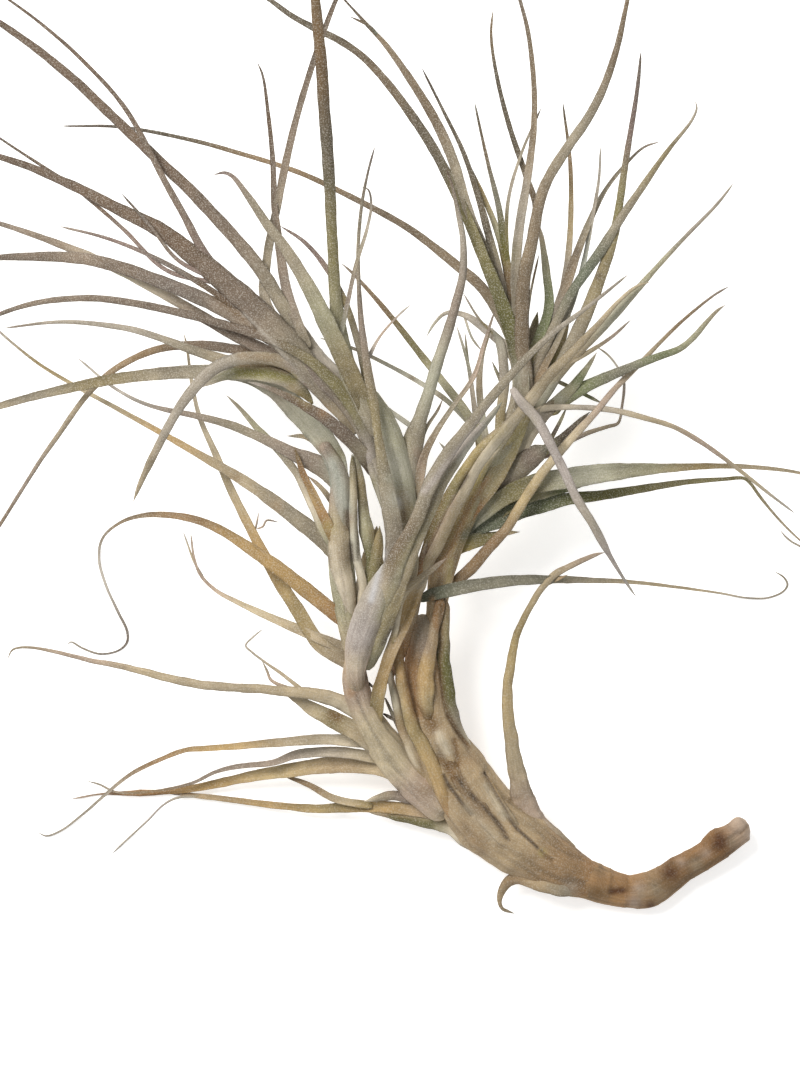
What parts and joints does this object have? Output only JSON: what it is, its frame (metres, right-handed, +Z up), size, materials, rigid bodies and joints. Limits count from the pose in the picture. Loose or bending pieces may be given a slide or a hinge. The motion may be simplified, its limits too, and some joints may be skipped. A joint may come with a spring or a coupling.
{
  "type": "air plant",
  "caption": "Air plant lying on a flat surface: a bent woody stub carries an old sheathed stem that forks into shoots of long narrow channelled tapering leaves.",
  "frame": {"origin": "the resting spot on the surface, under the elbow of the woody stub", "axes": "+Z is up from the surface, +Y runs along the surface from the stub towards the tips of the shoots, +X is to the right as the picture shows the plant"},
  "size_m": [0.2127, 0.2353, 0.078],
  "materials": {
    "bark": "rough brown bark with darker leaf scars",
    "dry_sheath": "dry fibrous taupe sheaths, matte",
    "dry_leaf": "dry tan to ochre leaf, matte, finely ribbed",
    "pale_leaf": "pale tan and grey-green leaf with grey scurf",
    "sage_leaf": "pale sage leaf with grey scurf",
    "mauve_leaf": "mauve-grey leaf with pale scurf",
    "lavender_leaf": "pale lavender-grey leaf with dense scurf",
    "green_leaf": "sage to olive green leaf with grey scurf"
  },
  "bodies": {
    "root": {"woody_stem": "bark", "old_stem": "dry_sheath", "shoot_low_left": "dry_leaf", "shoot_left": "pale_leaf", "shoot_centre": "sage_leaf", "shoot_upper_left": "mauve_leaf", "shoot_front": "lavender_leaf", "shoot_right": "green_leaf"}
  },
  "joints": []
}
